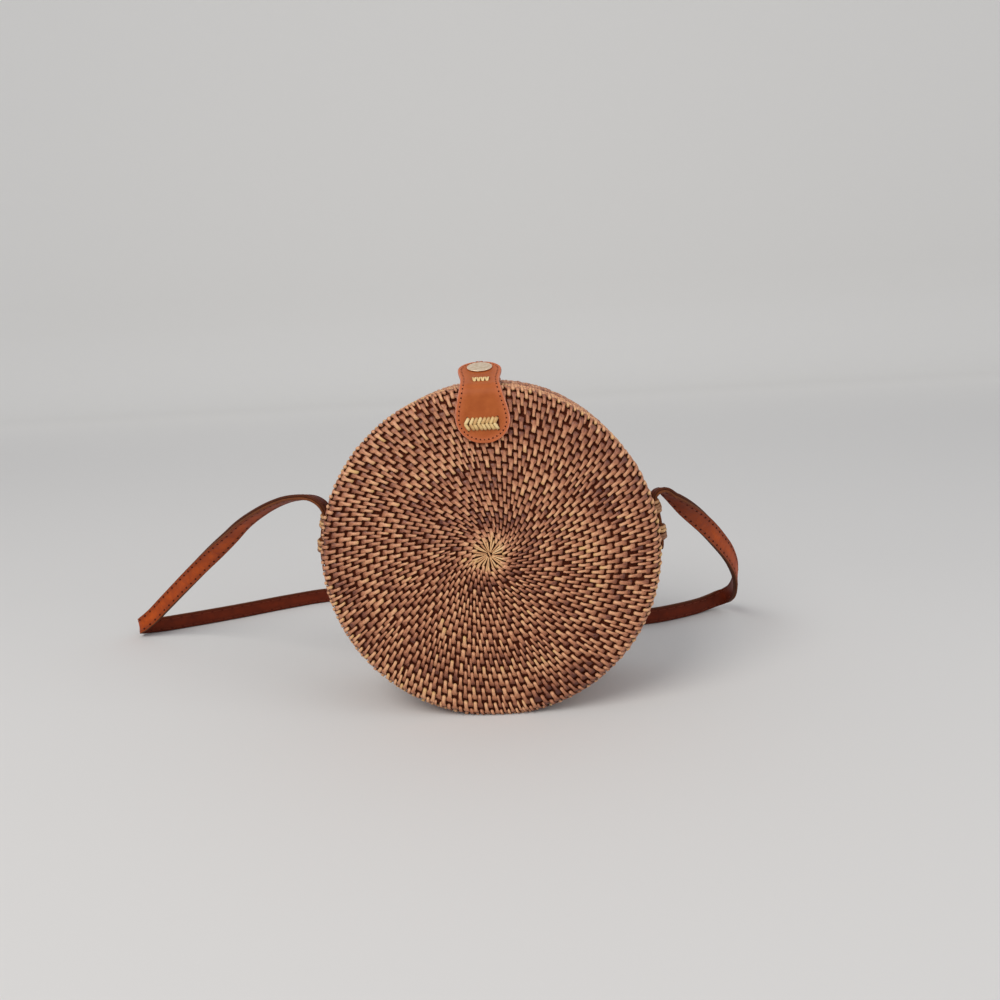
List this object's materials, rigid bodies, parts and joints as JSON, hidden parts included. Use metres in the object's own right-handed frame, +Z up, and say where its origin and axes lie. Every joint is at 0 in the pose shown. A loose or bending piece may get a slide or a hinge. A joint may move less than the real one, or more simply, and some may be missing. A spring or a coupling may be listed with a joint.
{
  "type": "rattan crossbody bag",
  "caption": "Round coiled rattan crossbody bag that opens like a clamshell, with a lashed leather flap on a press stud and a long leather shoulder strap.",
  "frame": {"origin": "middle of the flat base of the closed bag, on the seam plane between the two halves", "axes": "+X to the right seen from the front, +Z up, the front faces -Y"},
  "size_m": [0.4872, 0.2485, 0.2121],
  "materials": {
    "rattan": "smoked brown split rattan, satin",
    "pale_rattan": "golden peeled rattan, satin",
    "tan_leather": "orange tan leather with stitched edges",
    "strap_leather": "red brown leather with burnished edges",
    "lining_cloth": "plain woven cotton",
    "brass": "pale brass, brushed"
  },
  "bodies": {
    "front_half": {"front_shell": "rattan", "front_rim": "rattan", "front_lining": "lining_cloth", "flap_panel": "tan_leather", "flap_lower_lashing": "pale_rattan", "flap_neck_lashing": "pale_rattan", "strap_outer_ply": "strap_leather", "strap_inner_ply": "strap_leather", "strap_loop_right_upper": "pale_rattan", "strap_loop_right_lower": "pale_rattan", "strap_loop_left_upper": "pale_rattan", "strap_loop_left_lower": "pale_rattan", "hinge_lashing_left": "pale_rattan", "hinge_lashing_right": "pale_rattan"},
    "flap": {"flap_tongue": "tan_leather", "snap_cap": "brass", "snap_socket": "brass"},
    "rear_half": {"rear_shell": "rattan", "rear_rim": "rattan", "rear_lining": "lining_cloth", "rear_tab": "tan_leather", "rear_tab_lashing": "pale_rattan", "snap_stud": "brass", "snap_post": "brass"}
  },
  "joints": [
    {"name": "flap_lift", "type": "hinge", "parent": "front_half", "child": "flap", "pos_m": [0, -0.03058, 0.20189], "axis": [1, 0, 0], "range_deg": [0, 100]},
    {"name": "lid_open", "type": "hinge", "parent": "front_half", "child": "rear_half", "pos_m": [0, 0, 0], "axis": [-1, 0, 0], "range_deg": [0, 55], "deforming": ["hinge_lashing_left", "hinge_lashing_right"]}
  ]
}
